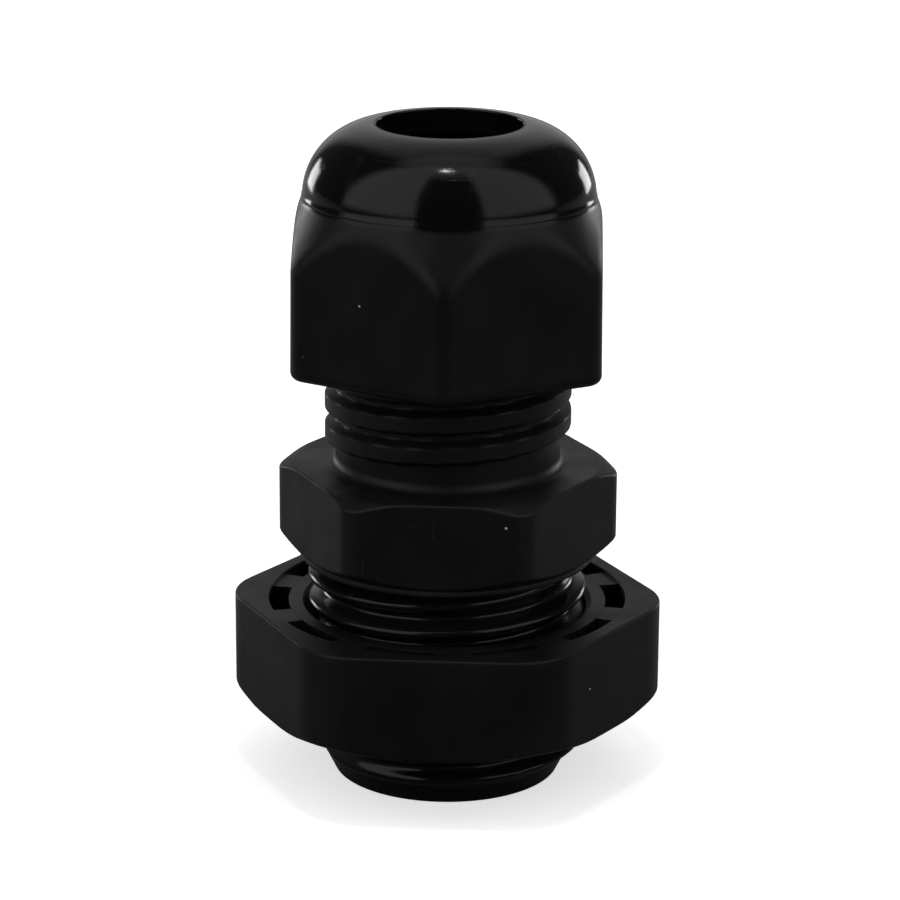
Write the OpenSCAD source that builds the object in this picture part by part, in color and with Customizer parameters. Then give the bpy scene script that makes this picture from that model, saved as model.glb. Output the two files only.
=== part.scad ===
// Cable gland, M16 x 1.5, moulded nylon with a rubber seal.
// The axis is Z. The free end of the entry thread stands on z = 0, and the cable leaves at the top.

/* [Entry thread] */
// Major diameter of the entry thread
entry_d = 16; // [15.8:0.1:16.2]
// Pitch of the entry thread
entry_pitch = 1.5; // [1.25:0.25:2]
// Length from the free end to the underside of the hex flange
entry_len = 13.4; // [12.9:0.1:16]
// Diameter of the free end, inside its 45 degree lead-in
entry_tip_d = 13; // [12.6:0.1:13.4]
// Length of the plain stretch above the lead-in
entry_plain_h = 2.7; // [2.4:0.1:2.8]

/* [Hex flange] */
// Width across the flats
flange_flats = 17.2; // [17:0.1:18.5]
// Width across the rounded corners
flange_corners = 19.4; // [18.8:0.1:19.8]
// Height
flange_h = 5; // [4:0.1:7]
// Diameter of the round seat under the flange
flange_seat_d = 17; // [16.6:0.1:17]
// Diameter of the flat upper face, inside the cut-back corners
flange_top_d = 17.6; // [17.2:0.1:18.4]
// Angle that the flange is turned from facing the front
flange_turn = -4; // [-30:0.1:30]

/* [Neck and cap thread] */
// Diameter of the neck between the flange and the cap thread
neck_d = 13; // [12.8:0.1:13.2]
// Height of the neck
neck_h = 1.6; // [1.2:0.1:2]
// Major diameter of the cap thread
cap_d = 14; // [13.8:0.1:14.4]
// Pitch of the cap thread
cap_pitch = 1.75; // [1.25:0.25:2]
// Length of the cap thread
cap_len = 8.2; // [8:0.1:8.4]

/* [Sealing nut] */
// Width across the flats
nut_flats = 17.2; // [17:0.1:18]
// Width across the rounded corners
nut_corners = 19.5; // [18.6:0.1:19.8]
// Height, from the skirt to the top of the dome
nut_h = 13.7; // [13.5:0.1:15]
// Height of the dome above the hex
dome_h = 5.4; // [5:0.1:5.6]
// Largest diameter of the dome
dome_d = 16.5; // [16.2:0.1:16.8]
// Diameter of the cable opening
mouth_d = 8.2; // [8.1:0.1:8.4]
// Gap between the hex flange and the nut as it stands
nut_gap = 5.9; // [5.5:0.1:6.2]
// Angle that the nut is turned, with a corner to the front at 0
nut_turn = -1.8; // [-30:0.1:30]

/* [Clamping claw] */
// Outside diameter
claw_d = 11.1; // [10.9:0.1:11.1]
// Wall thickness
claw_wall = 0.6; // [0.55:0.05:0.6]
// Number of fingers
claw_fingers = 10; // [6:1:12]
// Width of the slot between two fingers
claw_slot_w = 0.9; // [0.6:0.1:1.2]
// Height of the ring that joins the fingers
claw_ring_h = 2.6; // [2:0.1:3.5]
// Whole height
claw_h = 12.4; // [12:0.1:12.6]

/* [Rubber seal] */
// Bore that the cable passes through
seal_bore_d = 8; // [7.4:0.1:8]
// Height above its foot
seal_h = 10.2; // [8:0.1:10.4]
// Height of the foot under the claw
seal_foot_h = 0.8; // [0.6:0.1:1]

/* [Flange gasket] */
// Thickness
gasket_h = 0.4; // [0.4:0.1:0.8]

/* [Locknut] */
// Width across the flats
locknut_flats = 22.4; // [21.8:0.1:22.6]
// Width across the rounded corners
locknut_corners = 24.5; // [24:0.1:25]
// Thickness
locknut_h = 6; // [5:0.1:6]
// Height of its lower face above the free end of the thread
locknut_z = 4.3; // [4.3:0.1:6]
// Diameter of its lower face, inside the cut-back corners
locknut_face_d = 22.6; // [22.4:0.1:23.6]
// Number of pockets in its upper face
pocket_count = 10; // [8:1:12]
// Depth of the pockets
pocket_depth = 3.6; // [1:0.1:4]
// Angle that the locknut is turned from facing the front
locknut_turn = -4; // [-30:0.1:30]

/* [Hidden] */
$fn = 96;

// Radial gap between each nut and the thread that it runs on
thread_clearance = 0.05;
// Depth of the ring grooves that stand for each thread
entry_groove = 0.85;
cap_groove = 0.55;
// Cuts reach this far past the faces that they open
past = 1;

// Heights of the faces up the axis
seat_z = entry_len - gasket_h;
flange_top_z = entry_len + flange_h;
cap_base_z = flange_top_z + neck_h;
cap_top_z = cap_base_z + cap_len;
nut_z = flange_top_z + nut_gap;

// The corners of the flange and the locknut are cut back at this angle to their faces
corner_cut = 30;
// A small flare joins the neck to the flange
flare_d = neck_d + 1;
flare_h = 0.9;

// Inside of the body: a passage for the cable, the socket for the claw, and two key ribs in it
passage_d = 9;
socket_d = claw_d + 0.1;
socket_floor_z = entry_len + 1.6;
key_w = 0.8;
key_in = 0.25;
tip_lead_h = (entry_d - entry_tip_d) / 2;

// Inside of the nut: the threaded skirt, then the cone that closes the claw
skirt_bore_d = cap_d + 2 * thread_clearance;
skirt_lead = 0.5;
skirt_depth = 10.5;
cone_base_d = claw_d + 0.6;
cone_h = 1.9;
cone_lean = (cone_base_d - mouth_d) / 2 / cone_h;
mouth_lip = 0.15;
dome_r = 4.1;
// The hex corners lean in this far for each millimetre up to the dome
hex_shoulder = 1.3;
shoulder_lean = 0.5;

// The claw stands just under the cone, with its tips bevelled to match
claw_gap = 0.15;
claw_bevel = 0.6;
claw_tip_r = claw_d / 2 - claw_bevel * cone_lean;
claw_top_z = nut_z + skirt_depth + (cone_base_d / 2 - claw_tip_r) / cone_lean - claw_gap;
claw_z = claw_top_z - claw_h;
claw_tooth = 0.5;
claw_tooth_h = 1.2;

// The seal fills the claw, on a foot that carries the claw's ring
claw_bore_d = claw_d - 2 * claw_wall;
seal_d = claw_bore_d - 0.1;
seal_foot_d = claw_bore_d + 0.6;
seal_z = claw_z - seal_foot_h;

// Locknut details
locknut_bore_d = entry_d + 2 * thread_clearance;
locknut_lead = 0.3;
pocket_inner_d = 18.3;
pocket_outer_d = 20.6;
pocket_turn = 6;
rib_w = 2.1;
rib_drop = 0.2;

// A hexagonal prism with blunt corners, standing on z = 0 with a flat to the front
module blunt_hex(flats, corners, h) {
  intersection() {
    cylinder(d = flats / cos(30), h = h, $fn = 6);
    cylinder(d = corners, h = h);
  }
}

// A cylinder with one ring groove to each pitch, which stands for a thread
module ring_thread(d, pitch, groove, z_low, z_high) {
  root = d / 2 - groove;
  crest = pitch / 6;
  flank = (pitch / 2 - crest) / groove;
  turns = floor((z_high - z_low) / pitch);
  difference() {
    translate([0, 0, z_low])
      cylinder(d = d, h = z_high - z_low);
    for (i = [0 : turns - 1])
      translate([0, 0, z_low + (i + 0.5) * pitch])
        rotate_extrude()
          polygon([
            [root, -crest / 2],
            [d / 2 + past, crest / 2 - pitch / 2 - past * flank],
            [d / 2 + past, pitch / 2 - crest / 2 + past * flank],
            [root, crest / 2]
          ]);
  }
}

module gland_body() {
  color("#232325") {
    difference() {
      union() {
        // Lead-in and plain free end of the entry thread
        cylinder(d1 = entry_tip_d, d2 = entry_d, h = tip_lead_h);
        translate([0, 0, tip_lead_h])
          cylinder(d = entry_d, h = entry_plain_h);
        ring_thread(entry_d, entry_pitch, entry_groove, tip_lead_h + entry_plain_h, seat_z);
        // Plain stretch inside the gasket
        translate([0, 0, seat_z])
          cylinder(d = entry_d, h = gasket_h + past);
        // Hex flange, with its corners cut back to the round seat and to the round upper face
        translate([0, 0, entry_len])
          rotate([0, 0, flange_turn])
            intersection() {
              blunt_hex(flange_flats, flange_corners, flange_h);
              cylinder(d1 = flange_seat_d, d2 = flange_seat_d + 2 * flange_h / tan(corner_cut), h = flange_h);
              cylinder(d1 = flange_top_d + 2 * flange_h / tan(corner_cut), d2 = flange_top_d, h = flange_h);
            }
        // Neck and cap thread
        cylinder(d = neck_d, h = cap_base_z + past);
        translate([0, 0, flange_top_z])
          cylinder(d1 = flare_d, d2 = neck_d, h = flare_h);
        ring_thread(cap_d, cap_pitch, cap_groove, cap_base_z, cap_top_z);
      }
      translate([0, 0, -past])
        cylinder(d = passage_d, h = cap_top_z + 2 * past);
      translate([0, 0, socket_floor_z])
        cylinder(d = socket_d, h = cap_top_z);
    }
    // Key ribs that stop the claw from turning
    for (side = [0, 180])
      rotate([0, 0, side])
        translate([socket_d / 2 - key_in, -key_w / 2, socket_floor_z])
          cube([2 * key_in, key_w, cap_top_z - socket_floor_z]);
  }
}

module flange_gasket() {
  color("#1a1a1a")
  translate([0, 0, seat_z])
    difference() {
      cylinder(d = flange_seat_d, h = gasket_h);
      translate([0, 0, -past])
        cylinder(d = entry_d + 2 * thread_clearance, h = gasket_h + 2 * past);
    }
}

// A rubber sleeve inside the claw, on a foot under the claw's ring
module seal_sleeve() {
  rim = (seal_d - seal_bore_d) / 4;
  top = seal_foot_h + seal_h;
  color("#3a3a3d")
  translate([0, 0, seal_z])
    rotate_extrude()
      polygon([
        [seal_bore_d / 2, 0],
        [seal_foot_d / 2, 0],
        [seal_foot_d / 2, seal_foot_h],
        [seal_d / 2, seal_foot_h],
        [seal_d / 2, top - rim],
        [seal_d / 2 - rim, top],
        [seal_bore_d / 2, top]
      ]);
}

// A slotted nylon ring: its fingers are bevelled outside and have a tooth inside
module clamping_claw() {
  inner = claw_bore_d / 2;
  tip = inner - claw_tooth;
  color("#2e2e31")
  translate([0, 0, claw_z])
    difference() {
      rotate_extrude()
        polygon([
          [inner, 0],
          [claw_d / 2, 0],
          [claw_d / 2, claw_h - claw_bevel],
          [claw_tip_r, claw_h],
          [tip, claw_h],
          [tip, claw_h - claw_tooth_h + claw_tooth],
          [inner, claw_h - claw_tooth_h]
        ]);
      for (i = [0 : claw_fingers - 1])
        rotate([0, 0, i * 360 / claw_fingers])
          translate([tip - past, -claw_slot_w / 2, claw_ring_h])
            cube([claw_wall + claw_tooth + 2 * past, claw_slot_w, claw_h]);
      // Keyways for the ribs in the socket
      for (side = [0, 180])
        rotate([0, 0, side])
          translate([claw_d / 2 - 1.2 * key_in, -0.6 * key_w, -past])
            cube([past, 1.2 * key_w, claw_h + 2 * past]);
    }
}

module sealing_nut() {
  base_z = nut_h - dome_h;
  hex_h = base_z + hex_shoulder;
  color("#1f1f21")
  translate([0, 0, nut_z])
    rotate([0, 0, 30 + nut_turn])
      difference() {
        union() {
          // Hex skirt, its upper corners cut back to the dome
          intersection() {
            blunt_hex(nut_flats, nut_corners, hex_h);
            cylinder(d1 = dome_d + 2 * hex_h * shoulder_lean, d2 = dome_d, h = hex_h);
          }
          // Dome with a rounded shoulder
          rotate_extrude()
            intersection() {
              union() {
                square([dome_d / 2 - dome_r, nut_h]);
                square([dome_d / 2, nut_h - dome_r]);
                translate([dome_d / 2 - dome_r, nut_h - dome_r])
                  circle(r = dome_r);
              }
              translate([0, base_z])
                square([dome_d, dome_h]);
            }
        }
        // Threaded skirt, with a lead-in drawn past the face that it opens
        translate([0, 0, -past])
          cylinder(d = skirt_bore_d, h = skirt_depth + past);
        translate([0, 0, -past])
          cylinder(d1 = skirt_bore_d + 2 * (skirt_lead + past), d2 = skirt_bore_d, h = skirt_lead + past);
        // Cone over the claw
        translate([0, 0, skirt_depth])
          cylinder(d1 = cone_base_d, d2 = mouth_d, h = cone_h);
        // Cable opening with a fine bevelled lip
        cylinder(d = mouth_d, h = nut_h + past);
        translate([0, 0, nut_h - mouth_lip])
          cylinder(d1 = mouth_d, d2 = mouth_d + 2 * (mouth_lip + past), h = mouth_lip + past);
      }
}

module locknut() {
  web_z = locknut_h - rib_drop;
  color("#262629")
  translate([0, 0, locknut_z])
    rotate([0, 0, locknut_turn])
      difference() {
        // Hex with its lower corners cut back
        intersection() {
          blunt_hex(locknut_flats, locknut_corners, locknut_h);
          cylinder(d1 = locknut_face_d, d2 = locknut_face_d + 2 * locknut_h / tan(corner_cut),
                   h = locknut_h);
        }
        // Bore with a lead-in at its upper end
        translate([0, 0, -past])
          cylinder(d = locknut_bore_d, h = locknut_h + 2 * past);
        translate([0, 0, web_z - locknut_lead])
          cylinder(d1 = locknut_bore_d, d2 = locknut_bore_d + 2 * (locknut_lead + past),
                   h = locknut_lead + past);
        // Upper face stepped down inside the rim, to the level of the ribs and the collar
        translate([0, 0, web_z])
          cylinder(d = pocket_outer_d, h = past);
        // Pockets, with ribs between them
        difference() {
          translate([0, 0, locknut_h - pocket_depth])
            cylinder(d = pocket_outer_d, h = locknut_h);
          translate([0, 0, -past])
            cylinder(d = pocket_inner_d, h = locknut_h + 2 * past);
          for (i = [0 : pocket_count - 1])
            rotate([0, 0, pocket_turn + (i + 0.5) * 360 / pocket_count])
              translate([0, -rib_w / 2, 0])
                cube([pocket_outer_d, rib_w, web_z]);
        }
      }
}

gland_body();
flange_gasket();
seal_sleeve();
clamping_claw();
sealing_nut();
locknut();
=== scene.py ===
"""Looks of the cable gland: detailed pieces with true threads, their materials and the stage."""

import math

import bpy
import numpy as np
from mathutils import Matrix, Vector

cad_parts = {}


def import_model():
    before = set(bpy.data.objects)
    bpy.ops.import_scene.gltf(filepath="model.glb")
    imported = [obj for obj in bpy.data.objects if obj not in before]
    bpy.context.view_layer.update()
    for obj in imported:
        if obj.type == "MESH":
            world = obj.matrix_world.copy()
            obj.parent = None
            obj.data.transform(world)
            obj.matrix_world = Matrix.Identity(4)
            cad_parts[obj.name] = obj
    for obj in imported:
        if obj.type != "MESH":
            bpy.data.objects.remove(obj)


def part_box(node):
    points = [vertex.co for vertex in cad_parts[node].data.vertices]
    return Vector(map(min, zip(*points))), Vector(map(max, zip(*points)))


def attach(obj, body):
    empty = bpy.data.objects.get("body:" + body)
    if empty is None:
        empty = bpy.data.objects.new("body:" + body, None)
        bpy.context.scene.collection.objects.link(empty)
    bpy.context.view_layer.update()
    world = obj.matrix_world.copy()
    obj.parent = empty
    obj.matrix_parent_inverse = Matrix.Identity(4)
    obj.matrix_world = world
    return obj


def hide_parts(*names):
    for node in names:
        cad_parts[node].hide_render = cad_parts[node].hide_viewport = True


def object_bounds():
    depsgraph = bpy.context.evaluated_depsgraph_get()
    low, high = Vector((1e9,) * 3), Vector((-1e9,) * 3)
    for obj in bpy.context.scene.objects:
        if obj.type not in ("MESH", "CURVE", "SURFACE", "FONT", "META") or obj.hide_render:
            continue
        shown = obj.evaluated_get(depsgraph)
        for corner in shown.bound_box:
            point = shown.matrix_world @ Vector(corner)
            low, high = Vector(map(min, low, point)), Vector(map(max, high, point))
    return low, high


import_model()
cad_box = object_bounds()

# ---------------------------------------------------------------- units and driving sizes, in millimetres

MM = 0.001
TURN = 2 * math.pi
SIDES = 300


def span(node):
    """Lowest and highest z of a CAD node, in millimetres."""
    low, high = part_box(node)
    return low.z / MM, high.z / MM


body_top = span("gland_body")[1]
gasket_low, gasket_top = span("flange_gasket")
nut_low, nut_top = span("sealing_nut")
lock_low, lock_top = span("locknut")
claw_low, claw_top = span("clamping_claw")
seal_low, seal_top = span("seal_sleeve")

# Right-hand threads: pitch, radius at the crest and at the root, the half width of the crest and the
# width of its flank in pitches, and the height of a crest at the left (half a turn)
CAP = {"pitch": 1.75, "crest": 7.02, "root": 6.42, "flat": 0.27, "flank": 0.16, "left_crest": 20.33}
ENTRY = {"pitch": 1.5, "crest": 8.0, "root": 7.15, "flat": 0.12, "flank": 0.36, "left_crest": 11.75}
# Each nut's thread fills the body's grooves, short of them by this much
NUT_GAP = 0.05
# Distance between the rings of a body thread
THREAD_STEP = 0.085

PASSAGE_R = 4.5
SOCKET_R = 5.6
SOCKET_FLOOR = gasket_top + 1.6
FLANGE_TOP = gasket_top + 5.0
TIP_R = 6.5
MOUTH_R = 4.1

# ---------------------------------------------------------------- shape helpers


def smooth_step(x, low, high):
    """0 below low, 1 above high, and a smooth curve between them."""
    t = np.clip((x - low) / (high - low), 0, 1)
    return t * t * (3 - 2 * t)


def soft_min(a, b, blend):
    """The smaller of a and b, with the edge between them rounded over the blend distance."""
    h = np.maximum(blend - np.abs(a - b), 0) / blend
    return np.minimum(a, b) - h * h * blend / 4


def even_angles(sides=SIDES):
    return np.arange(sides) * TURN / sides


def hex_radius(angle, apothem, fillet):
    """Distance from the axis to a hexagon with rounded corners and a flat centred on angle 0."""
    off_flat = (angle + TURN / 12) % (TURN / 6) - TURN / 12
    off_corner = TURN / 12 - np.abs(off_flat)
    centre = (apothem - fillet) / math.cos(TURN / 12)
    reach = math.atan2(fillet * math.sin(TURN / 12), centre + fillet * math.cos(TURN / 12))
    across = np.maximum(fillet**2 - (centre * np.sin(off_corner)) ** 2, 0)
    corner = centre * np.cos(off_corner) + np.sqrt(across)
    return np.where(off_corner < reach, corner, apothem / np.cos(off_flat))


def thread_phase(thread, angle, z):
    """How far z is from the nearest crest, in pitches from -0.5 to 0.5, and the height of that crest."""
    crest_zero = thread["left_crest"] - thread["pitch"] / 2
    turns = (z - crest_zero) / thread["pitch"] - angle / TURN
    nearest = np.round(turns)
    height = crest_zero + (nearest + angle / TURN) * thread["pitch"]
    return turns - nearest, height


def ridge(distance, flat, flank):
    """A rounded ridge: 1 on its flat top, falling to 0 over its flank. The distances are in pitches."""
    return 1 - smooth_step(np.abs(distance), flat - flank * 0.25, flat + flank)


def outer_thread(thread, angle, z, low, high, fade):
    """Radius of a helical thread. Its ridge fades in above low and out below high."""
    distance, height = thread_phase(thread, angle, z)
    share = smooth_step(height, low, low + fade) * (1 - smooth_step(height, high - fade, high))
    rise = thread["crest"] - thread["root"]
    return thread["root"] + rise * share * ridge(distance, thread["flat"], thread["flank"])


def inner_thread(thread, angle, z, low, high, fade):
    """Radius of the nut's side of the same thread: a ridge in the groove, with a small gap all round."""
    distance, _ = thread_phase(thread, angle, z)
    from_groove = 0.5 - np.abs(distance)
    share = smooth_step(z, low, low + fade) * (1 - smooth_step(z, high - fade, high))
    rise = thread["crest"] - thread["root"] - NUT_GAP
    flat = max(0.5 - thread["flat"] - thread["flank"] - 2 * NUT_GAP, 0.02)
    return thread["crest"] + NUT_GAP - rise * share * ridge(from_groove, flat, thread["flank"])


def rounded(corners, steps=5):
    """An open outline through (r, z, fillet) corners, with arcs at the fillets.

    Points set close beside each arc keep the shading of the flat stretches even.
    """
    edge = 0.04
    points = []
    for i, (r, z, fillet) in enumerate(corners):
        here = np.array([r, z], float)
        if i in (0, len(corners) - 1):
            points.append(here)
            continue
        before = np.array(corners[i - 1][:2], float) - here
        after = np.array(corners[i + 1][:2], float) - here
        before /= np.linalg.norm(before)
        after /= np.linalg.norm(after)
        half = math.acos(float(np.clip(before @ after, -1, 1))) / 2
        radius = max(fillet, edge)
        run = radius / math.tan(half)
        middle = (before + after) / np.linalg.norm(before + after)
        centre = here + middle * radius / math.sin(half)
        start = here + before * run - centre
        end = here + after * run - centre
        turn = math.atan2(start[0] * end[1] - start[1] * end[0], float(start @ end))
        points.append(here + before * (run + edge))
        for k in range(steps + 1):
            a = turn * k / steps
            spun = np.array([start[0] * math.cos(a) - start[1] * math.sin(a),
                             start[0] * math.sin(a) + start[1] * math.cos(a)])
            points.append(centre + spun)
        points.append(here + after * (run + edge))
    return points


class Skin:
    """A closed surface made of rings of points round the axis, joined in order and back to the first."""

    def __init__(self, angles=None):
        self.angles = even_angles() if angles is None else angles
        self.radii = []
        self.heights = []
        self.polish = []

    def ring(self, radius, height, polish=0.0):
        shape = self.angles.shape
        self.radii.append(np.broadcast_to(radius, shape))
        self.heights.append(np.broadcast_to(height, shape))
        self.polish.append(np.broadcast_to(polish, shape))

    def rings(self, points, polish=0.0):
        for r, z in points:
            self.ring(r, z, polish)

    def build(self, name):
        r = np.array(self.radii) * MM
        z = np.array(self.heights) * MM
        points = np.stack([r * np.cos(self.angles), r * np.sin(self.angles), z], -1)
        count, sides = r.shape
        k, i = np.meshgrid(np.arange(count), np.arange(sides), indexing="ij")
        up, along = (k + 1) % count, (i + 1) % sides
        faces = np.stack([k * sides + i, k * sides + along, up * sides + along, up * sides + i], -1)
        piece = new_piece(name, points.reshape(-1, 3), faces.reshape(-1, 4))
        shine = piece.data.attributes.new("polish", "FLOAT", "POINT")
        shine.data.foreach_set("value", np.array(self.polish, np.float32).ravel())
        return piece


def new_piece(name, points, faces):
    mesh = bpy.data.meshes.new(name)
    mesh.from_pydata(points.tolist(), [], [list(f) for f in faces])
    mesh.validate()
    mesh.shade_smooth()
    mesh.set_sharp_from_angle(angle=math.radians(38))
    piece = bpy.data.objects.new(name, mesh)
    bpy.context.scene.collection.objects.link(piece)
    return piece


def place(piece, body, node, material):
    """Puts a finished piece in the frame: what it rides on, what it stands for and its finish."""
    piece.data.materials.clear()
    piece.data.materials.append(material)
    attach(piece, body)
    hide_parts(node)


# ---------------------------------------------------------------- gland body

# Corners are cut back at 30 degrees to the end faces
CUT_SLOPE = 1 / math.tan(math.radians(30))
FLANGE_APOTHEM = 8.62
FLANGE_FILLET = 1.7
FLANGE_TURN = math.radians(-94)
FLANGE_CUT_R = 8.8
SEAT_R = 8.5
KEY_HALF_ANGLE = 0.4 / SOCKET_R
KEY_IN = 0.25


def body_piece():
    skin = Skin()
    angle = skin.angles
    flange = hex_radius(angle - FLANGE_TURN, FLANGE_APOTHEM, FLANGE_FILLET)
    # Free end: bore edge, end face, and the lead-in that the thread rises from
    skin.rings(rounded([(PASSAGE_R, 2.0, 0), (PASSAGE_R, 0, 0.3), (TIP_R, 0, 0.1), (TIP_R + 0.2, 0.4, 0)]))
    # The entry thread is glossier than the rest of the moulding
    thread_start = 1.2
    for z in np.arange(0.46, gasket_low - 0.1, THREAD_STEP):
        lead = np.maximum(TIP_R + z / 2, TIP_R + thread_start / 2 + (z - thread_start) * 1.2)
        screw = outer_thread(ENTRY, angle, z, thread_start, gasket_low - 0.35, 0.9)
        skin.ring(soft_min(screw, lead, 0.15), z, 1.0)
    # Core inside the gasket, seat, and the flange's cut-back lower corners
    core_r = 7.9
    skin.rings(rounded([(core_r, gasket_low, 0), (core_r, gasket_top, 0.02), (SEAT_R - 0.1, gasket_top, 0)]))
    for rise in np.linspace(0, 1.9, 24):
        skin.ring(soft_min(flange, SEAT_R + rise * CUT_SLOPE, 0.15), gasket_top + rise)
    for rise in (2.4, 3.2, 3.8):
        skin.ring(flange, gasket_top + rise)
    # Upper corners cut back at 30 degrees, then the rounded upper edge
    edge = 0.15
    blend = 0.12
    for drop in np.append(np.linspace(1.1, 0.3, 17), (0.24, 0.2, edge)):
        skin.ring(soft_min(flange, FLANGE_CUT_R + drop * CUT_SLOPE, blend), FLANGE_TOP - drop)
    for a in np.linspace(0.25, math.pi / 2, 6):
        drop = edge * (1 - math.sin(a))
        cut = soft_min(flange, FLANGE_CUT_R + drop * CUT_SLOPE, blend)
        skin.ring(cut - edge * (1 - math.cos(a)), FLANGE_TOP - drop)
    # Top face in to the neck, through a small flare
    flare = 0.55
    top_edge = soft_min(flange, FLANGE_CUT_R, blend) - edge
    for share in (0.03, 0.3, 0.65, 0.95, 0.99):
        skin.ring((1 - share) * top_edge + share * (CAP["root"] + flare), FLANGE_TOP)
    for a in np.linspace(0, math.pi / 2, 7):
        skin.ring(CAP["root"] + flare * (1 - math.sin(a)), FLANGE_TOP + flare * (1 - math.cos(a)))
    # Cap thread, up to a bevelled rim
    bevel = 0.45
    for z in np.arange(FLANGE_TOP + flare + 0.08, body_top - 0.05, THREAD_STEP):
        screw = outer_thread(CAP, angle, z, 19.75, body_top + 2, 0.55)
        skin.ring(soft_min(screw, CAP["crest"] - bevel + (body_top - z), 0.12), z)
    # Rim, socket with its two key ribs, shoulder, and the passage down to the free end
    rim = CAP["crest"] - bevel
    skin.rings(rounded([(rim, body_top - 0.04, 0), (rim - 0.04, body_top, 0.05),
                        (SOCKET_R, body_top, 0.12), (SOCKET_R, body_top - 0.6, 0)]))
    off_key = np.abs((angle + math.pi / 2) % math.pi - math.pi / 2)
    key = 1 - smooth_step(off_key, KEY_HALF_ANGLE * 0.8, KEY_HALF_ANGLE * 1.2)
    for z in (body_top - 0.65, body_top - 0.9, body_top - 1.2):
        skin.ring(SOCKET_R - KEY_IN * key * smooth_step(body_top - z, 0.6, 1.1), z)
    for z in np.linspace(body_top - 1.8, SOCKET_FLOOR + 0.3, 10):
        skin.ring(SOCKET_R - KEY_IN * key, z)
    skin.ring(SOCKET_R - KEY_IN * key, SOCKET_FLOOR)
    skin.rings(rounded([(SOCKET_R - KEY_IN - 0.05, SOCKET_FLOOR, 0), (PASSAGE_R, SOCKET_FLOOR, 0.2),
                        (PASSAGE_R, SOCKET_FLOOR - 1, 0)]))
    for z in np.linspace(SOCKET_FLOOR - 2, 2.6, 10):
        skin.ring(PASSAGE_R, z)
    return skin.build("gland_body_moulding")


# ---------------------------------------------------------------- sealing nut

NUT_APOTHEM = 8.6
NUT_FILLET = 1.15
NUT_DRAFT = 0.06
NUT_TURN = math.radians(-61.8)
DOME_R = 8.25
DOME_ARC = 4.1
SHOULDER_Z = nut_top - 4.15
SHOULDER_LEAN = 0.5
NUT_THREAD_DEPTH = 10.5
CONE_BASE_R = 5.85
CONE_H = 1.9


def nut_piece():
    skin = Skin()
    angle = skin.angles
    bore_r = CAP["crest"] + NUT_GAP

    def hexagon(z, inset=0.0):
        height = (z - nut_low) / (nut_top - nut_low)
        apothem = NUT_APOTHEM + NUT_DRAFT * (1 - 2 * height) - inset
        return hex_radius(angle - NUT_TURN, apothem, NUT_FILLET - min(inset, NUT_FILLET / 2))

    # Lower face, from the thread's lead-in out to the rounded lower edge of the hex
    skin.rings(rounded([(bore_r, nut_low + 0.7, 0), (bore_r + 0.45, nut_low, 0.1),
                        (bore_r + 0.7, nut_low, 0)]))
    edge = 0.5
    for share in (0.5, 0.95):
        skin.ring((1 - share) * (bore_r + 0.75) + share * hexagon(nut_low, edge), nut_low)
    for a in np.linspace(0, math.pi / 2, 6):
        skin.ring(hexagon(nut_low, edge * (1 - math.sin(a))), nut_low + edge * (1 - math.cos(a)))
    # Flats, up to where the leaning shoulder starts to cut the corners
    for z in np.linspace(nut_low + 0.7, nut_low + 4.6, 7):
        skin.ring(hexagon(z), z)
    # The outline of the dome as it turns: a leaning shoulder below, then the rounded dome
    for z in np.arange(nut_low + 5.0, SHOULDER_Z + 0.3, 0.09):
        below = SHOULDER_Z - z
        lean = DOME_R + SHOULDER_LEAN * (below + math.hypot(below, 0.25)) / 2
        polish = 1 - smooth_step(below, -0.1, 0.25)
        skin.ring(soft_min(hexagon(z), lean, 0.3), z, polish)
    for a in np.linspace(0.06, math.pi / 2, 26):
        skin.ring(DOME_R - DOME_ARC * (1 - math.cos(a)), nut_top - DOME_ARC * (1 - math.sin(a)), 1.0)
    # Lip, mouth, the cone over the claw, and the threaded skirt
    lip = 0.16
    skin.rings(rounded([(MOUTH_R + 0.04, nut_top, 0), (MOUTH_R, nut_top, lip / 2),
                        (MOUTH_R, nut_top - 1.0, 0)])[1:], 1.0)
    cone_top = nut_low + NUT_THREAD_DEPTH + CONE_H
    cone_base = nut_low + NUT_THREAD_DEPTH
    skin.rings(rounded([(MOUTH_R, nut_top - 1.1, 0), (MOUTH_R, cone_top, 0.1), (CONE_BASE_R, cone_base, 0.08),
                        (bore_r, cone_base, 0.15), (bore_r, cone_base - 0.5, 0)]), 0.4)
    for z in np.arange(cone_base - 0.6, nut_low + 0.75, -0.1):
        skin.ring(inner_thread(CAP, angle, z, nut_low + 0.9, cone_base - 0.7, 1.0), z)
    return skin.build("sealing_nut_dome")


# ---------------------------------------------------------------- locknut

LOCK_APOTHEM = 11.2
LOCK_FILLET = 4.1
LOCK_TURN = math.radians(-94)
LOCK_FACE_R = 11.3
POCKETS = 10
POCKET_TURN = math.radians(6)
POCKET_IN_R = 9.15
POCKET_OUT_R = 10.3
POCKET_DEPTH = 3.6
POCKET_HALF = math.radians(11.8)
WEB_DROP = 0.2


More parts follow.
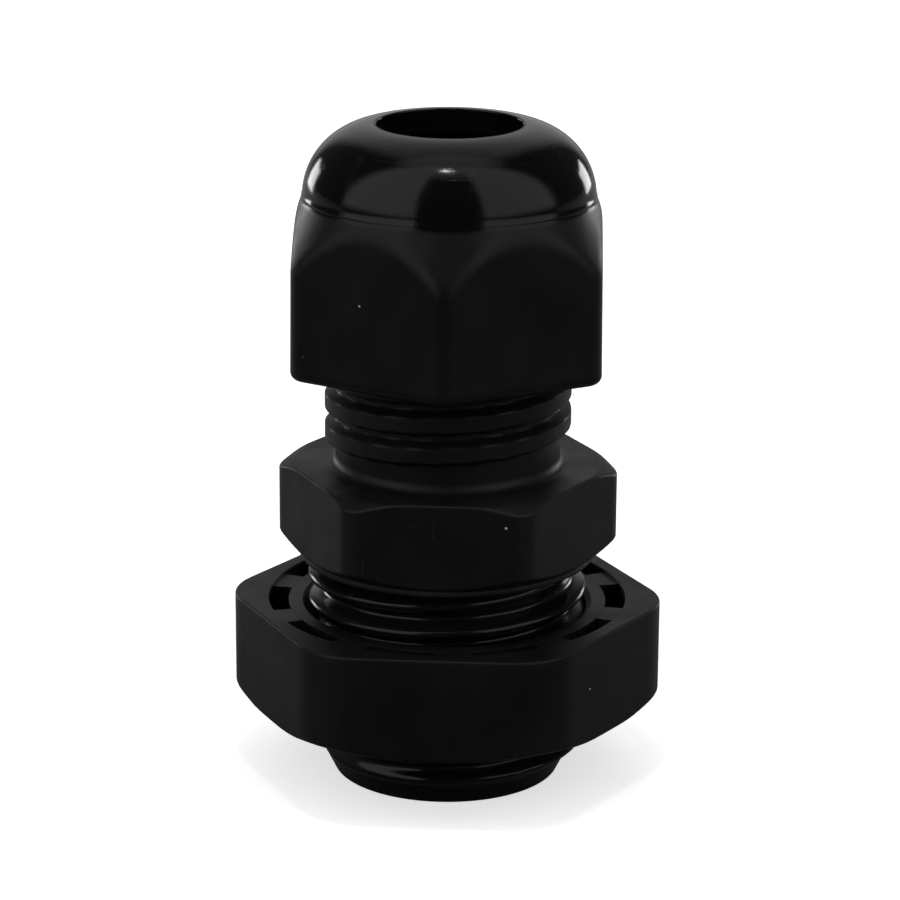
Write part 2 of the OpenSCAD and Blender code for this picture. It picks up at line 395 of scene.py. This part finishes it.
def locknut_piece():
    wall = math.radians(0.35)
    period = TURN / POCKETS
    centres = LOCK_TURN + TURN / 4 + POCKET_TURN + np.arange(POCKETS) * period
    beside_wall = (-2.2 * wall, -wall, 0, wall)
    marks = [c + side * (POCKET_HALF + d) for c in centres for side in (-1, 1) for d in beside_wall]
    spread = [c + t * period for c in centres for t in np.linspace(-0.5, 0.5, 24, endpoint=False)]
    angles = np.unique(np.round(np.array(marks + spread) % TURN, 6))
    angles = angles[np.concatenate([[True], np.diff(angles) > math.radians(0.12)])]
    skin = Skin(angles)
    from_pocket = np.min(np.abs((angles[:, None] - centres + math.pi) % TURN - math.pi), 1)
    pocket = 1 - smooth_step(from_pocket, POCKET_HALF - wall, POCKET_HALF)
    bore_r = ENTRY["crest"] + NUT_GAP
    web_z = lock_top - WEB_DROP
    floor_z = lock_top - POCKET_DEPTH

    def hexagon(inset=0.0):
        return hex_radius(angles - LOCK_TURN, LOCK_APOTHEM - inset, LOCK_FILLET - inset)

    # Lower face and the bevelled lower corners
    skin.rings(rounded([(bore_r, lock_low + 0.5, 0), (bore_r + 0.3, lock_low, 0.1),
                        (bore_r + 0.6, lock_low, 0)]))
    edge = 0.12
    face = np.minimum(hexagon(edge), LOCK_FACE_R - edge)
    for share in (0.3, 0.7, 0.97):
        skin.ring((1 - share) * (bore_r + 0.65) + share * face, lock_low)
    for rise in np.linspace(0, 1.1, 20):
        round_in = edge - math.sqrt(max(edge**2 - max(edge - rise, 0) ** 2, 0))
        skin.ring(soft_min(hexagon(), LOCK_FACE_R + rise * CUT_SLOPE, 0.2) - round_in, lock_low + rise)
    for rise in (2.0, 3.0, 4.0, lock_top - lock_low - 0.6):
        skin.ring(hexagon(), lock_low + rise)
    top_edge = 0.14
    for a in np.linspace(0, math.pi / 2, 5):
        skin.ring(hexagon(top_edge * (1 - math.cos(a))), lock_top - top_edge * (1 - math.sin(a)))
    # Rim in to the step, then down into the pockets, which leave ribs between them
    for share in (0.06, 0.5, 0.92):
        skin.ring((1 - share) * hexagon(top_edge) + share * (POCKET_OUT_R + 0.08), lock_top)
    for r, z in rounded([(POCKET_OUT_R + 0.07, lock_top, 0), (POCKET_OUT_R, lock_top, 0.05),
                         (POCKET_OUT_R, web_z + 0.02, 0)], 3)[1:]:
        skin.ring(r, z)
    for share in (0.03, 0.35, 0.7, 0.97, 1.0):
        skin.ring(POCKET_OUT_R - 0.01, web_z - pocket * share * (web_z - floor_z))
    middle = (POCKET_OUT_R + POCKET_IN_R) / 2
    for r in (POCKET_OUT_R - 0.06, POCKET_OUT_R - 0.15, middle, POCKET_IN_R + 0.15, POCKET_IN_R + 0.06):
        skin.ring(r, web_z - pocket * (web_z - floor_z))
    for share in (1.0, 0.97, 0.7, 0.35, 0.03):
        skin.ring(POCKET_IN_R + 0.01, web_z - pocket * share * (web_z - floor_z))
    # Collar round the bore, and the thread
    skin.rings(rounded([(POCKET_IN_R, web_z - 0.02, 0), (POCKET_IN_R - 0.03, web_z, 0.03),
                        (bore_r + 0.3, web_z, 0.08), (bore_r, web_z - 0.3, 0.05),
                        (bore_r, web_z - 0.45, 0)], 3))
    for z in np.arange(web_z - 0.5, lock_low + 0.55, -0.09):
        skin.ring(inner_thread(ENTRY, angles, z, lock_low + 0.5, web_z - 0.4, 0.5), z)
    return skin.build("locknut_with_pockets")


# ---------------------------------------------------------------- gasket, seal and claw

SEAL_BORE_R = 4.0
CLAW_R = 5.55
CLAW_BORE_R = 4.95
CLAW_TIP_R = 5.0
CLAW_RING_H = 2.6
FINGERS = 10
SLOT_W = 0.9
KEYWAY_IN = 0.3


def gasket_piece():
    skin = Skin()
    inner, outer, soft = 8.05, SEAT_R, 0.14
    skin.rings(rounded([(inner, gasket_low + 0.18, 0), (inner, gasket_low, 0.04), (outer, gasket_low, soft),
                        (outer, gasket_top, soft), (inner, gasket_top, 0.04), (inner, gasket_top - 0.18, 0)]))
    return skin.build("flange_gasket_ring")


def seal_piece():
    """The rubber sleeve, with a foot, a rounded rim and shallow gripping grooves in its bore."""
    skin = Skin()
    foot_r, foot_h, outer = 5.25, 0.8, 4.85
    skin.rings(rounded([(SEAL_BORE_R, seal_low + 1.0, 0), (SEAL_BORE_R, seal_low, 0.25),
                        (foot_r, seal_low, 0.12), (foot_r, seal_low + foot_h, 0.05),
                        (outer, seal_low + foot_h, 0.05), (outer, seal_top, 0.35),
                        (SEAL_BORE_R, seal_top, 0.3), (SEAL_BORE_R, seal_top - 1.2, 0)]))
    groove, pitch = 0.12, 1.3
    for z in np.arange(seal_top - 1.3, seal_low + 1.1, -0.1):
        wave = max(math.cos((z - seal_low) / pitch * TURN), 0) ** 2
        skin.ring(SEAL_BORE_R + groove * wave, z)
    return skin.build("rubber_seal_sleeve")


def claw_piece():
    """The slotted ring: one closed mesh, cut down to the ring's height in each slot, with two keyways."""
    ring_z = claw_low + CLAW_RING_H
    tip_in, tooth, tooth_h = 4.45, 0.5, 1.2
    profile = [(CLAW_BORE_R, claw_low), (CLAW_R, claw_low), (CLAW_R, ring_z), (CLAW_R, claw_top - 3),
               (CLAW_R, claw_top - 0.6), (CLAW_TIP_R, claw_top), (tip_in, claw_top),
               (tip_in, claw_top - tooth_h + tooth), (CLAW_BORE_R, claw_top - tooth_h),
               (CLAW_BORE_R, claw_top - 3), (CLAW_BORE_R, ring_z)]
    half_slot = SLOT_W / 2 / CLAW_BORE_R
    period = TURN / FINGERS
    offsets = [(half_slot * t, True) for t in (-1, -0.8, 0.8)]
    offsets += [(half_slot + (period - 2 * half_slot) * t, False) for t in np.linspace(0, 1, 9)[:-1]]
    angles, in_slot, keyway = [], [], []
    for f in range(FINGERS):
        for offset, slotted in offsets:
            angles.append(f * period + offset)
            in_slot.append(slotted)
            keyway.append(f % (FINGERS // 2) == 0 and abs(offset) < half_slot * 0.9)
    points, index, faces = [], {}, []

    def vertex(j, k):
        key = (j % len(angles), k)
        if key not in index:
            r, z = profile[k]
            if keyway[key[0]]:
                r = min(r, CLAW_R - KEYWAY_IN)
            a = angles[key[0]]
            index[key] = len(points)
            points.append((r * math.cos(a) * MM, r * math.sin(a) * MM, z * MM))
        return index[key]

    last = len(profile) - 1
    for j in range(len(angles)):
        strips = [(last, 0), (0, 1), (1, 2)]
        strips += [(2, last)] if in_slot[j] else [(k, k + 1) for k in range(2, last)]
        for a, b in strips:
            faces.append([vertex(j, a), vertex(j + 1, a), vertex(j + 1, b), vertex(j, b)])
        if in_slot[j] != in_slot[j - 1]:
            wall = [vertex(j, k) for k in range(2, last + 1)]
            faces.append(wall[::-1] if in_slot[j] else wall)
    piece = new_piece("clamping_claw_fingers", np.array(points), faces)
    soften = piece.modifiers.new("edges", "BEVEL")
    soften.width = 0.05 * MM
    soften.segments = 2
    soften.limit_method = "ANGLE"
    soften.angle_limit = math.radians(30)
    return piece


# ---------------------------------------------------------------- materials

RAMP_SOCKETS = ("From Min", "From Max", "To Min", "To Max")


class Nodes:
    """Short calls for building one material's nodes."""

    def __init__(self, name):
        self.material = bpy.data.materials.new(name)
        self.material.use_nodes = True
        self.tree = self.material.node_tree
        self.shader = self.tree.nodes["Principled BSDF"]
        self.place = self.add("ShaderNodeTexCoord").outputs["Object"]

    def add(self, kind, **values):
        node = self.tree.nodes.new(kind)
        for key, value in values.items():
            setattr(node, key, value)
        return node

    def link(self, source, target):
        self.tree.links.new(source, target)

    def stretched(self, scale, turn=(0, 0, 0)):
        mapping = self.add("ShaderNodeMapping")
        mapping.inputs["Scale"].default_value = scale
        mapping.inputs["Rotation"].default_value = turn
        self.link(self.place, mapping.inputs["Vector"])
        return mapping.outputs["Vector"]

    def noise(self, scale, detail=2.0, vector=None, roughness=0.5):
        node = self.add("ShaderNodeTexNoise")
        node.inputs["Scale"].default_value = scale
        node.inputs["Detail"].default_value = detail
        node.inputs["Roughness"].default_value = roughness
        self.link(vector or self.place, node.inputs["Vector"])
        return node.outputs["Fac"]

    def remap(self, source, from_low, from_high, to_low, to_high):
        node = self.add("ShaderNodeMapRange", clamp=True)
        for key, value in zip(RAMP_SOCKETS, (from_low, from_high, to_low, to_high)):
            node.inputs[key].default_value = value
        self.link(source, node.inputs["Value"])
        return node.outputs["Result"]

    def math(self, operation, a, b):
        node = self.add("ShaderNodeMath", operation=operation)
        for socket, value in zip(node.inputs, (a, b)):
            if isinstance(value, (int, float)):
                socket.default_value = value
            else:
                self.link(value, socket)
        return node.outputs[0]

    def mix(self, factor, a, b):
        node = self.add("ShaderNodeMix", data_type="RGBA")
        self.link(factor, node.inputs["Factor"])
        for socket, value in ((node.inputs[6], a), (node.inputs[7], b)):
            if isinstance(value, tuple):
                socket.default_value = (*value, 1)
            else:
                self.link(value, socket)
        return node.outputs[2]

    def bump(self, height, distance, strength, before=None):
        node = self.add("ShaderNodeBump")
        node.inputs["Distance"].default_value = distance
        node.inputs["Strength"].default_value = strength
        self.link(height, node.inputs["Height"])
        if before is not None:
            self.link(before, node.inputs["Normal"])
        return node.outputs["Normal"]


def scratches(nodes, scale, turn, width):
    """Thin straight scuffs: a noise drawn out along one direction, with only its peaks kept."""
    streaks = nodes.noise(1.0, 1.0, nodes.stretched(scale, turn))
    patches = nodes.remap(nodes.noise(260, 1.0), 0.5, 0.66, 0, 1)
    return nodes.math("MULTIPLY", nodes.remap(streaks, 0.72 - width, 0.74, 0, 1), patches)


def dust(nodes, scale, size, share):
    """Sparse round specks: one in a few cells of a Voronoi pattern."""
    cells = nodes.add("ShaderNodeTexVoronoi")
    cells.inputs["Scale"].default_value = scale
    nodes.link(nodes.place, cells.inputs["Vector"])
    near = nodes.remap(cells.outputs["Distance"], size * 0.6, size, 1, 0)
    pick = nodes.add("ShaderNodeSeparateColor")
    nodes.link(cells.outputs["Color"], pick.inputs["Color"])
    chosen = nodes.remap(pick.outputs["Red"], 1 - share, 1 - share + 0.01, 0, 1)
    return nodes.math("MULTIPLY", near, chosen)


def nylon(name, tone, rough, specular, polished=None, grain=0.35):
    """Moulded black nylon: fine grain, uneven gloss, scuffs, worn edges and a few specks of dust."""
    nodes = Nodes(name)
    dark = tuple(c * 0.75 for c in tone)
    light = tuple(c * 1.35 for c in tone)
    clouds = nodes.noise(170, 4.0)
    colour = nodes.mix(nodes.remap(clouds, 0.35, 0.65, 0, 1), dark, light)
    scuffs = nodes.math("MAXIMUM", scratches(nodes, (400, 400, 9000), (0.5, 0.9, 0), 0.05),
                        scratches(nodes, (7000, 500, 500), (0.2, 0.4, 1.1), 0.05))
    bent = nodes.add("ShaderNodeNewGeometry").outputs["Pointiness"]
    patchy = nodes.remap(nodes.noise(900, 3.0), 0.4, 0.7, 0, 1)
    wear = nodes.math("MULTIPLY", nodes.remap(bent, 0.53, 0.62, 0, 1), patchy)
    specks = dust(nodes, 620, 0.055, 0.07)
    marks = nodes.math("MAXIMUM", nodes.math("MULTIPLY", scuffs, 0.35), nodes.math("MULTIPLY", wear, 0.5))
    colour = nodes.mix(marks, colour, tuple(c * 3.5 + 0.004 for c in tone))
    colour = nodes.mix(specks, colour, (0.5, 0.5, 0.48))
    nodes.link(colour, nodes.shader.inputs["Base Color"])
    gloss = nodes.math("ADD", nodes.remap(nodes.noise(330, 3.0), 0.3, 0.7, rough - 0.06, rough + 0.07),
                       nodes.math("MULTIPLY", scuffs, 0.12))
    if polished is not None:
        attribute = nodes.add("ShaderNodeAttribute", attribute_name="polish").outputs["Fac"]
        smear = nodes.remap(nodes.noise(210, 3.0), 0.3, 0.7, polished - 0.02, polished + 0.03)
        shiny = nodes.math("ADD", smear, nodes.math("MULTIPLY", scuffs, 0.06))
        mixed = nodes.add("ShaderNodeMix", data_type="FLOAT")
        nodes.link(attribute, mixed.inputs["Factor"])
        nodes.link(gloss, mixed.inputs[2])
        nodes.link(shiny, mixed.inputs[3])
        gloss = mixed.outputs[0]
    gloss = nodes.math("MAXIMUM", gloss, nodes.math("MULTIPLY", specks, 0.8))
    nodes.link(gloss, nodes.shader.inputs["Roughness"])
    nodes.shader.inputs["Specular IOR Level"].default_value = specular
    fine = nodes.bump(nodes.noise(7500, 3.0), 0.00001, grain)
    waves = nodes.bump(nodes.noise(240, 1.0), 0.00004, 0.12, fine)
    nodes.link(nodes.bump(scuffs, 0.00001, 0.25, waves), nodes.shader.inputs["Normal"])
    return nodes.material


def rubber(name, tone, rough):
    """Moulded rubber: even and matt, with a powdery bloom in patches."""
    nodes = Nodes(name)
    bloom = nodes.remap(nodes.noise(600, 4.0), 0.45, 0.75, 0, 0.6)
    colour = nodes.mix(bloom, tone, tuple(c * 2.2 for c in tone))
    specks = dust(nodes, 900, 0.06, 0.05)
    nodes.link(nodes.mix(specks, colour, (0.2, 0.2, 0.19)), nodes.shader.inputs["Base Color"])
    gloss = nodes.remap(nodes.noise(450, 3.0), 0.3, 0.7, rough - 0.08, rough + 0.08)
    nodes.link(gloss, nodes.shader.inputs["Roughness"])
    nodes.shader.inputs["Specular IOR Level"].default_value = 0.3
    nodes.link(nodes.bump(nodes.noise(5200, 4.0), 0.00002, 0.5), nodes.shader.inputs["Normal"])
    return nodes.material


# ---------------------------------------------------------------- stage: floor, light and camera


# The background is brighter to the camera than in reflections, as in a cut-out product photograph
FLOOR_SEEN = (0.9, 0.9, 0.9)
# How bright the floor is in reflections: before the object, and behind it
FLOOR_REFLECTED = (0.14, 0.42)
FLOOR_GLOW = 0.6
SKY_SEEN = 1.1


def add_math(tree, operation, *values):
    """One Math node; each value is a number or an output socket."""
    node = tree.nodes.new("ShaderNodeMath")
    node.operation = operation
    for socket, value in zip(node.inputs, values):
        if isinstance(value, (int, float)):
            socket.default_value = value
        else:
            tree.links.new(value, socket)
    return node.outputs[0]


def add_ramp(tree, source, from_low, from_high, to_low=0.0, to_high=1.0):
    """A smooth change from to_low to to_high as the source goes from from_low to from_high."""
    node = tree.nodes.new("ShaderNodeMapRange")
    node.interpolation_type = "SMOOTHSTEP"
    for key, value in zip(RAMP_SOCKETS, (from_low, from_high, to_low, to_high)):
        node.inputs[key].default_value = value
    tree.links.new(source, node.inputs["Value"])
    return node.outputs["Result"]


def floor():
    """A plain pale floor just under the object, reflected in it more dimly than it is seen."""
    size = 6.0
    drop = 0.02 * MM
    points = [(-size, -size, 0), (size, -size, 0), (size, size, 0), (-size, size, 0)]
    level = np.array([0, 0, cad_box[0].z - drop])
    piece = new_piece("pale_floor", np.array(points) + level, [[0, 1, 2, 3]])
    material = bpy.data.materials.new("pale_floor")
    material.use_nodes = True
    tree = material.node_tree
    shader = tree.nodes["Principled BSDF"]
    shader.inputs["Roughness"].default_value = 0.9
    shader.inputs["Specular IOR Level"].default_value = 0.0
    seen = tree.nodes.new("ShaderNodeLightPath").outputs["Is Camera Ray"]
    tone = tree.nodes.new("ShaderNodeMix")
    tone.data_type = "RGBA"
    depth = tree.nodes.new("ShaderNodeSeparateXYZ")
    tree.links.new(tree.nodes.new("ShaderNodeTexCoord").outputs["Object"], depth.inputs[0])
    dim = tree.nodes.new("ShaderNodeCombineColor")
    for socket in dim.inputs:
        tree.links.new(add_ramp(tree, depth.outputs["Y"], -0.03, 0.03, *FLOOR_REFLECTED), socket)
    tree.links.new(dim.outputs[0], tone.inputs[6])
    tone.inputs[7].default_value = (*FLOOR_SEEN, 1)
    tree.links.new(seen, tone.inputs["Factor"])
    tree.links.new(tone.outputs[2], shader.inputs["Base Color"])
    shader.inputs["Emission Color"].default_value = (1, 1, 1, 1)
    tree.links.new(add_math(tree, "MULTIPLY", seen, FLOOR_GLOW), shader.inputs["Emission Strength"])
    piece.data.materials.append(material)


SIDE_WINDOW = 1.3
OVERHEAD = 0.8
REAR = 0.52
ROOM = 0.05


def world():
    """A studio tent: bright windows at both sides, light overhead and behind, and a dark gap at the front."""
    sky = bpy.data.worlds.new("studio")
    sky.use_nodes = True
    tree = sky.node_tree
    background = tree.nodes["Background"]
    background.inputs["Color"].default_value = (1, 1, 1, 1)
    way = tree.nodes.new("ShaderNodeSeparateXYZ")
    tree.links.new(tree.nodes.new("ShaderNodeTexCoord").outputs["Generated"], way.inputs[0])
    x, y, z = way.outputs
    side = add_math(tree, "ABSOLUTE", x)
    past_gap = add_ramp(tree, add_math(tree, "MULTIPLY_ADD", y, 0.48, side), -0.02, 0.05)
    before_rear = add_ramp(tree, add_math(tree, "MULTIPLY", y, -1.0), -0.08, 0.1)
    window = add_math(tree, "MULTIPLY", past_gap, before_rear)
    window = add_math(tree, "MULTIPLY", window, add_ramp(tree, z, -0.05, 0.12))
    left_to_right = add_ramp(tree, x, -0.6, 0.6, SIDE_WINDOW, SIDE_WINDOW * 0.9)
    window = add_math(tree, "MULTIPLY", window, left_to_right)
    roof = add_ramp(tree, z, 0.86, 0.97, 0.0, OVERHEAD)
    rear = add_ramp(tree, y, 0.1, 0.4, 0.0, REAR)
    rear = add_math(tree, "MULTIPLY", rear, add_ramp(tree, side, 0.5, 0.25))
    glow = ROOM
    for light in (window, roof, rear):
        glow = add_math(tree, "MAXIMUM", light, glow)
    camera_ray = tree.nodes.new("ShaderNodeLightPath").outputs["Is Camera Ray"]
    seen = add_math(tree, "MULTIPLY", camera_ray, SKY_SEEN)
    tree.links.new(add_math(tree, "MAXIMUM", glow, seen), background.inputs["Strength"])
    bpy.context.scene.world = sky


def panel(name, centre, aim, width, height, power):
    """A soft light panel. Places are in metres."""
    light = bpy.data.lights.new(name, "AREA")
    light.shape = "RECTANGLE"
    light.size = width
    light.size_y = height
    light.energy = power
    lamp = bpy.data.objects.new(name, light)
    lamp.location = centre
    lamp.rotation_euler = (Vector(aim) - Vector(centre)).to_track_quat("-Z", "Y").to_euler()
    bpy.context.scene.collection.objects.link(lamp)


ELEVATION = math.radians(17.05)
DISTANCE = 0.202
FOCAL_MM = 141.4
ROLL = math.radians(0.34)
SHIFT_X = 0.0024


def camera():
    lens = bpy.data.cameras.new("camera")
    lens.sensor_width = 36
    lens.lens = FOCAL_MM
    lens.shift_x = SHIFT_X
    lens.clip_start = 0.01
    lens.clip_end = 50
    eye = bpy.data.objects.new("camera", lens)
    target = Vector((0, 0, (cad_box[0].z + cad_box[1].z) / 2))
    back = Vector((0, -math.cos(ELEVATION), math.sin(ELEVATION)))
    facing = (-back).to_track_quat("-Z", "Y").to_matrix().to_4x4()
    eye.matrix_world = Matrix.Translation(target + back * DISTANCE) @ facing @ Matrix.Rotation(ROLL, 4, "Z")
    bpy.context.scene.collection.objects.link(eye)
    bpy.context.scene.camera = eye


# ---------------------------------------------------------------- make everything

camera()
body_nylon = nylon("body_nylon", (0.0042, 0.0042, 0.0045), 0.46, 0.21, polished=0.16)
nut_nylon = nylon("nut_nylon", (0.003, 0.003, 0.0034), 0.42, 0.2, polished=0.1)
locknut_nylon = nylon("locknut_nylon", (0.0036, 0.0036, 0.0038), 0.45, 0.18)
claw_nylon = nylon("claw_nylon", (0.012, 0.012, 0.012), 0.5, 0.3)
gasket_rubber = rubber("gasket_rubber", (0.006, 0.006, 0.006), 0.6)
seal_rubber = rubber("seal_rubber", (0.012, 0.012, 0.012), 0.55)
place(body_piece(), "gland_body", "gland_body", body_nylon)
place(nut_piece(), "sealing_nut", "sealing_nut", nut_nylon)
place(locknut_piece(), "locknut", "locknut", locknut_nylon)
place(gasket_piece(), "flange_gasket", "flange_gasket", gasket_rubber)
place(seal_piece(), "claw_and_seal", "seal_sleeve", seal_rubber)
place(claw_piece(), "claw_and_seal", "clamping_claw", claw_nylon)

floor()
world()
panel("overhead_bar", (-0.012, -0.09, 0.45), (0, 0, 0.03), 0.04, 0.022, 0.16)
# Behind the object at both sides: light edges on the dome and glints on the threads
for name, side in (("left_strip", -1), ("right_strip", 1)):
    panel(name, (side * 0.3, 0.36, 0.05), (0, 0, 0.02), 0.12, 0.14, 0.3)
bpy.context.scene.view_settings.view_transform = "Standard"
